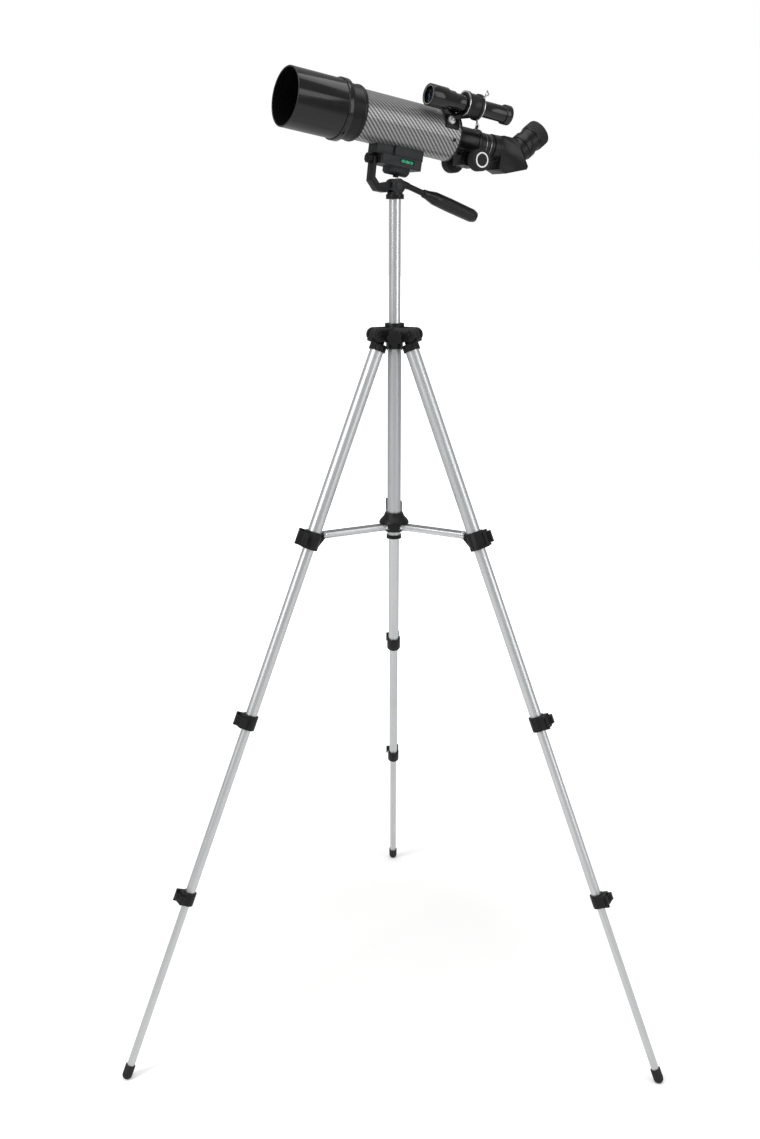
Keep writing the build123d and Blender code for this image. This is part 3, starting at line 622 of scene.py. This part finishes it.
for n in legNumbers:
    earPin = jointPlace(f"leg_{n}_brace_hinge")
    inward = Vector((tripodAxis.x - earPin.x, tripodAxis.y - earPin.y, 0))
    bracePlace = axesMatrix(earPin, -inward, up)
    length = inward.length / mm - braceLook["hubRadius"]
    channel = finishPiece(braceChannel(length), f"leg_{n}_brace_channel", bracePlace, f"leg_{n}_brace",
                          guideAluminium, smoothAngle=30)
    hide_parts(f"leg_{n}_brace")
    heads = []
    for along in (0, -length):
        for side in (-1, 1):
            head = turned([(4.7, 2.7), (5.3, 2.6), (5.8, 1.7), (5.95, 0.6)], sides=24)
            outTurn = Matrix.Rotation(math.radians(90 * side), 4, "Z")
            head.data.transform(shifted(Matrix.Identity(4), x=along) @ outTurn)
            heads.append(head)
    finishPiece(joined(heads), f"leg_{n}_brace_rivets", bracePlace, f"leg_{n}_brace",
                chrome)

print("tripod fittings")
ring = turned([(737, 9.3), (737, 10.0), (737.5, 10.6), (742.3, 10.6), (743, 10.1), (743, 9.3), (737, 9.3)],
              sides=72)
finishPiece(ring, "guide_tube_end_ring", Matrix.Translation(tripodAxis) @ upTurn, "tripod_top",
            blackPlastic)
# each collar's distance down the leg, its reach outwards and its height
collars = ((290.9, 16, 25), (558.2, 15, 21), (822.7, 14, 19))
for n in legNumbers:
    for k, (at, reach, collarHeight) in enumerate(collars, 1):
        tall = collarHeight / 2 - 4.6
        ribsOnLever = [slab(reach + 3.0, reach + 4.0, y - 0.45, y + 0.45, -at - tall + 0.6, -at + tall - 0.6,
                            edge=0.25, segments=2) for y in (-1.5, 1.5, 4.5, 7.5)]
        finishPiece(joined(ribsOnLever), f"leg_{n}_lever_{k}_ribs", legPlace(n), f"leg_{n}_lever_{k}",
                    blackPlastic)

print("head details")
vial = turned([(-13.6, 0.8), (-13.2, 1.8), (-12, 2.35), (3.8, 2.35), (5.0, 1.8), (5.4, 0.8)], sides=32)
vialPlace = shifted(tiltPlace, y=15.0, z=30.9)
finishPiece(vial, "level_vial", vialPlace, "telescope", vialGreen)
bubble = turned([(-6.8, 0.3), (-6.4, 0.9), (-5.6, 1.2), (-3.0, 1.2), (-2.2, 0.9), (-1.8, 0.3)], sides=24)
finishPiece(bubble, "level_bubble", shifted(vialPlace, y=1.0, z=0.9), "telescope",
            coatedGlass)


def hoop(x, half, inner, outer, sides):
    # a thin ring round local X
    return turned([(x - half, inner), (x - half, outer), (x + half, outer), (x + half, inner),
                   (x - half, inner)], sides)


marks = joined([hoop(x, 0.3, 2.3, 2.5, 32) for x in (-8.2, -0.4)])
finishPiece(marks, "level_marks", vialPlace, "telescope", blackPlastic)
axleCap = turned([(10.5, 6.6), (11.2, 6.4), (11.8, 5.6), (12.0, 4.4)], sides=48)
slot = joined([axleCap, slab(11.6, 12.5, -4.6, 4.6, -0.9, 0.9, edge=0.3, segments=2)])
finishPiece(slot, "tilt_axle_cap", tiltPlace @ acrossTurn, "pan_head", greyPlastic)
screw = turned([(9.8, 3.4), (9.8, 3.8), (11.2, 3.8), (13.4, 3.2), (13.6, 2.6)], sides=32)
finishPiece(screw, "platform_screw", shifted(tiltPlace, x=1.0, z=1.5) @ upTurn, "telescope",
            blackPlastic)

print("telescope details")
knobSpin = jointPlace("focus_knob_spin")
knobPlace = Matrix.Translation(knobSpin) @ tiltPlace.to_3x3().to_4x4() @ acrossTurn
knobRim = [(24.9, 12.0), (25.6, 14.5), (38.2, 14.5), (39.1, 13.4), (39.1, 11.0), (37.5, 10.4), (25, 10.4),
           (24.9, 12.0)]
knobDisc = [(36.6, 10.5), (38.4, 10.5), (38.9, 10.0), (38.9, 7.2), (38.3, 6.7), (38.3, 2.0)]
for side, flip in (("far", Matrix.Rotation(math.pi, 4, "Z")), ("near", Matrix.Identity(4))):
    finishPiece(knurled(knobRim, 40, 0.7, 14.5), f"focus_knob_rim_{side}", knobPlace @ flip, "focus_knobs",
                ribRubber)
    finishPiece(turned(knobDisc, sides=64), f"focus_knob_disc_{side}", knobPlace @ flip, "focus_knobs",
                darkChrome)


def thumbScrew(name, place, body, reach=7.0, wide=8.0):
    # a screw with a flat thumb tab
    stem = turned([(0, 1.4), (reach, 1.4), (reach + 0.2, 2.2), (reach + 1.6, 2.2)], sides=24)
    tab = slab(reach + 1.2, reach + 6.2, -wide / 2, wide / 2, -0.8, 0.8, edge=0.7, segments=3)
    return finishPiece(joined([stem, tab]), name, place, body, chrome)


def thumbNut(name, place, body):
    # a knurled nut on a rounded stud
    nut = knurled([(0, 4.6), (0.6, 5.2), (4.6, 5.2), (5.2, 4.6), (5.2, 2.4)], 20, 0.5, 5.2)
    stud = turned([(4.0, 1.9), (6.6, 1.9), (7.4, 1.2), (7.5, 0.4)], sides=24)
    return finishPiece(joined([nut, stud]), name, place, body, chrome)


for i, lean in enumerate((-24, 24)):
    place = leaned(scopeSizes["finderLean"] + lean, -52, 34.2) @ upTurn
    thumbNut(f"finder_nut_{i + 1}", place, "telescope")
for i, lean in enumerate((-10, 128, 238)):
    place = shifted(finderPlace @ Matrix.Rotation(math.radians(lean), 4, "X"), x=-88, z=16.2) @ upTurn
    thumbScrew(f"finder_screw_{i + 1}", place, "telescope")
place = shifted(scopePlace, x=-146, z=-15) @ Matrix.Rotation(math.radians(150), 4, "X") @ upTurn
thumbScrew("diagonal_screw", place, "focus_tube", 3.5, 6.0)
hole = turned([(0, 2.6), (0.5, 2.6), (0.6, 2.0)], sides=32)
finishPiece(hole, "rear_cell_screw", leaned(-104, -63, 31.7) @ upTurn, "telescope",
            satinBlack)
for i, x in enumerate((-134, -126.5)):
    finishPiece(hoop(x, 0.25, 15.65, 16.05, 64), f"drawtube_line_{i + 1}", scopePlace, "focus_tube",
                darkChrome)
eyeRing = knurled([(35.2, 17.8), (35.2, 18.6), (48.4, 18.6), (48.4, 17.8), (35.2, 17.8)], 60, 0.35, 18.6)
finishPiece(eyeRing, "eyepiece_grip", eyePlace, "eyepiece", ribRubber)
lens = turned([(44.6, 8.4), (45.3, 8.4), (45.9, 6.2), (46.1, 3.0), (46.15, 0.5)], sides=48)
finishPiece(lens, "eye_lens", eyePlace, "eyepiece", coatedGlass)
finderLens = turned([(-19.2, 11.9), (-18.4, 11.9), (-17.4, 8), (-17.0, 4), (-16.9, 0.5)], sides=48)
finishPiece(finderLens, "finder_lens", finderPlace, "telescope", coatedGlass)
finishPiece(hoop(-11.25, 0.35, 11.2, 12.1, 64), "finder_bezel", finderPlace, "telescope",
            chrome)
for i, x in enumerate((-66.2, -89.8)):
    finishPiece(hoop(x, 0.35, 15.0, 16.95, 72), f"finder_ring_edge_{i + 1}", finderPlace, "telescope",
                chrome)

print("camera, floor and lights")
stageLook = {"cameraBack": 1.732, "cameraHeight": 1.1639, "pitchDown": 15.30, "yawLeft": 0.657, "lens": 39.49}
camera = bpy.data.cameras.new("camera")
camera.lens = stageLook["lens"]
camera.sensor_width = 36
camera.clip_end = 60
cameraObject = bpy.data.objects.new("camera", camera)
bpy.context.collection.objects.link(cameraObject)
cameraObject.location = tripodAxis + Vector((0, -stageLook["cameraBack"], stageLook["cameraHeight"]))
cameraObject.rotation_euler = Euler((math.radians(90 - stageLook["pitchDown"]), 0,
                                     math.radians(stageLook["yawLeft"])))
bpy.context.scene.camera = cameraObject

surroundLook = {"floorSize": 60, "fadeFrom": 0.2, "fadeTo": 1.9, "leastGlow": 0.1, "seen": 1.0,
                "lighting": 0.42}


def cameraRay(tree):
    return tree.nodes.new("ShaderNodeLightPath").outputs["Is Camera Ray"]


clearSelection()
bpy.ops.mesh.primitive_plane_add(size=surroundLook["floorSize"], location=(0, 0, 0))
floor = bpy.context.object
floor.name = "floor"
floorMaterial, floorTree, floorShader = newMaterial("paleFloor")
floorCoords = floorTree.nodes.new("ShaderNodeTexCoord")
floorNoise = floorTree.nodes.new("ShaderNodeTexNoise")
floorNoise.inputs["Scale"].default_value = 3
floorTree.links.new(floorCoords.outputs["Object"], floorNoise.inputs["Vector"])
floorTree.links.new(mixColour(floorTree, floorNoise.outputs["Fac"], (0.9, 0.9, 0.895), (0.93, 0.93, 0.925)),
                    floorShader.inputs["Base Color"])
floorShader.inputs["Roughness"].default_value = 0.95
floorShader.inputs["Specular IOR Level"].default_value = 0.1
# away from the object the floor fades into the white surround
distance = floorTree.nodes.new("ShaderNodeVectorMath")
distance.operation = "LENGTH"
floorTree.links.new(floorCoords.outputs["Object"], distance.inputs[0])
fade = ramp(floorTree, distance.outputs["Value"], surroundLook["fadeFrom"], surroundLook["fadeTo"],
            surroundLook["leastGlow"], 1.0)
floorShader.inputs["Emission Color"].default_value = (1, 1, 1, 1)
glow = mathNode(floorTree, "MULTIPLY", fade, cameraRay(floorTree))
floorTree.links.new(glow, floorShader.inputs["Emission Strength"])
floor.data.materials.append(floorMaterial)
clearSelection()

world = bpy.data.worlds.new("studio")
bpy.context.scene.world = world
world.use_nodes = True
background = world.node_tree.nodes["Background"]
background.inputs["Color"].default_value = (1, 1, 1, 1)
strength = ramp(world.node_tree, cameraRay(world.node_tree), 0.0, 1.0, surroundLook["lighting"],
                surroundLook["seen"])
world.node_tree.links.new(strength, background.inputs["Strength"])


def softLight(name, place, target, size, power):
    light = bpy.data.lights.new(name, "AREA")
    light.shape = "RECTANGLE"
    light.size, light.size_y = size
    light.energy = power
    lamp = bpy.data.objects.new(name, light)
    bpy.context.collection.objects.link(lamp)
    lamp.location = place
    lamp.rotation_euler = (Vector(target) - Vector(place)).to_track_quat("-Z", "Y").to_euler()


softLight("keyLeft", (-2.2, -1.9, 2.6), (0, 0, 0.9), (1.2, 2.4), 60)
softLight("fillRight", (2.4, -1.6, 1.6), (0, 0, 0.8), (1.4, 2.2), 22)
softLight("overhead", (0, -0.4, 3.4), (0, 0, 1), (2.4, 2.4), 40)

bpy.context.scene.view_settings.view_transform = "Standard"
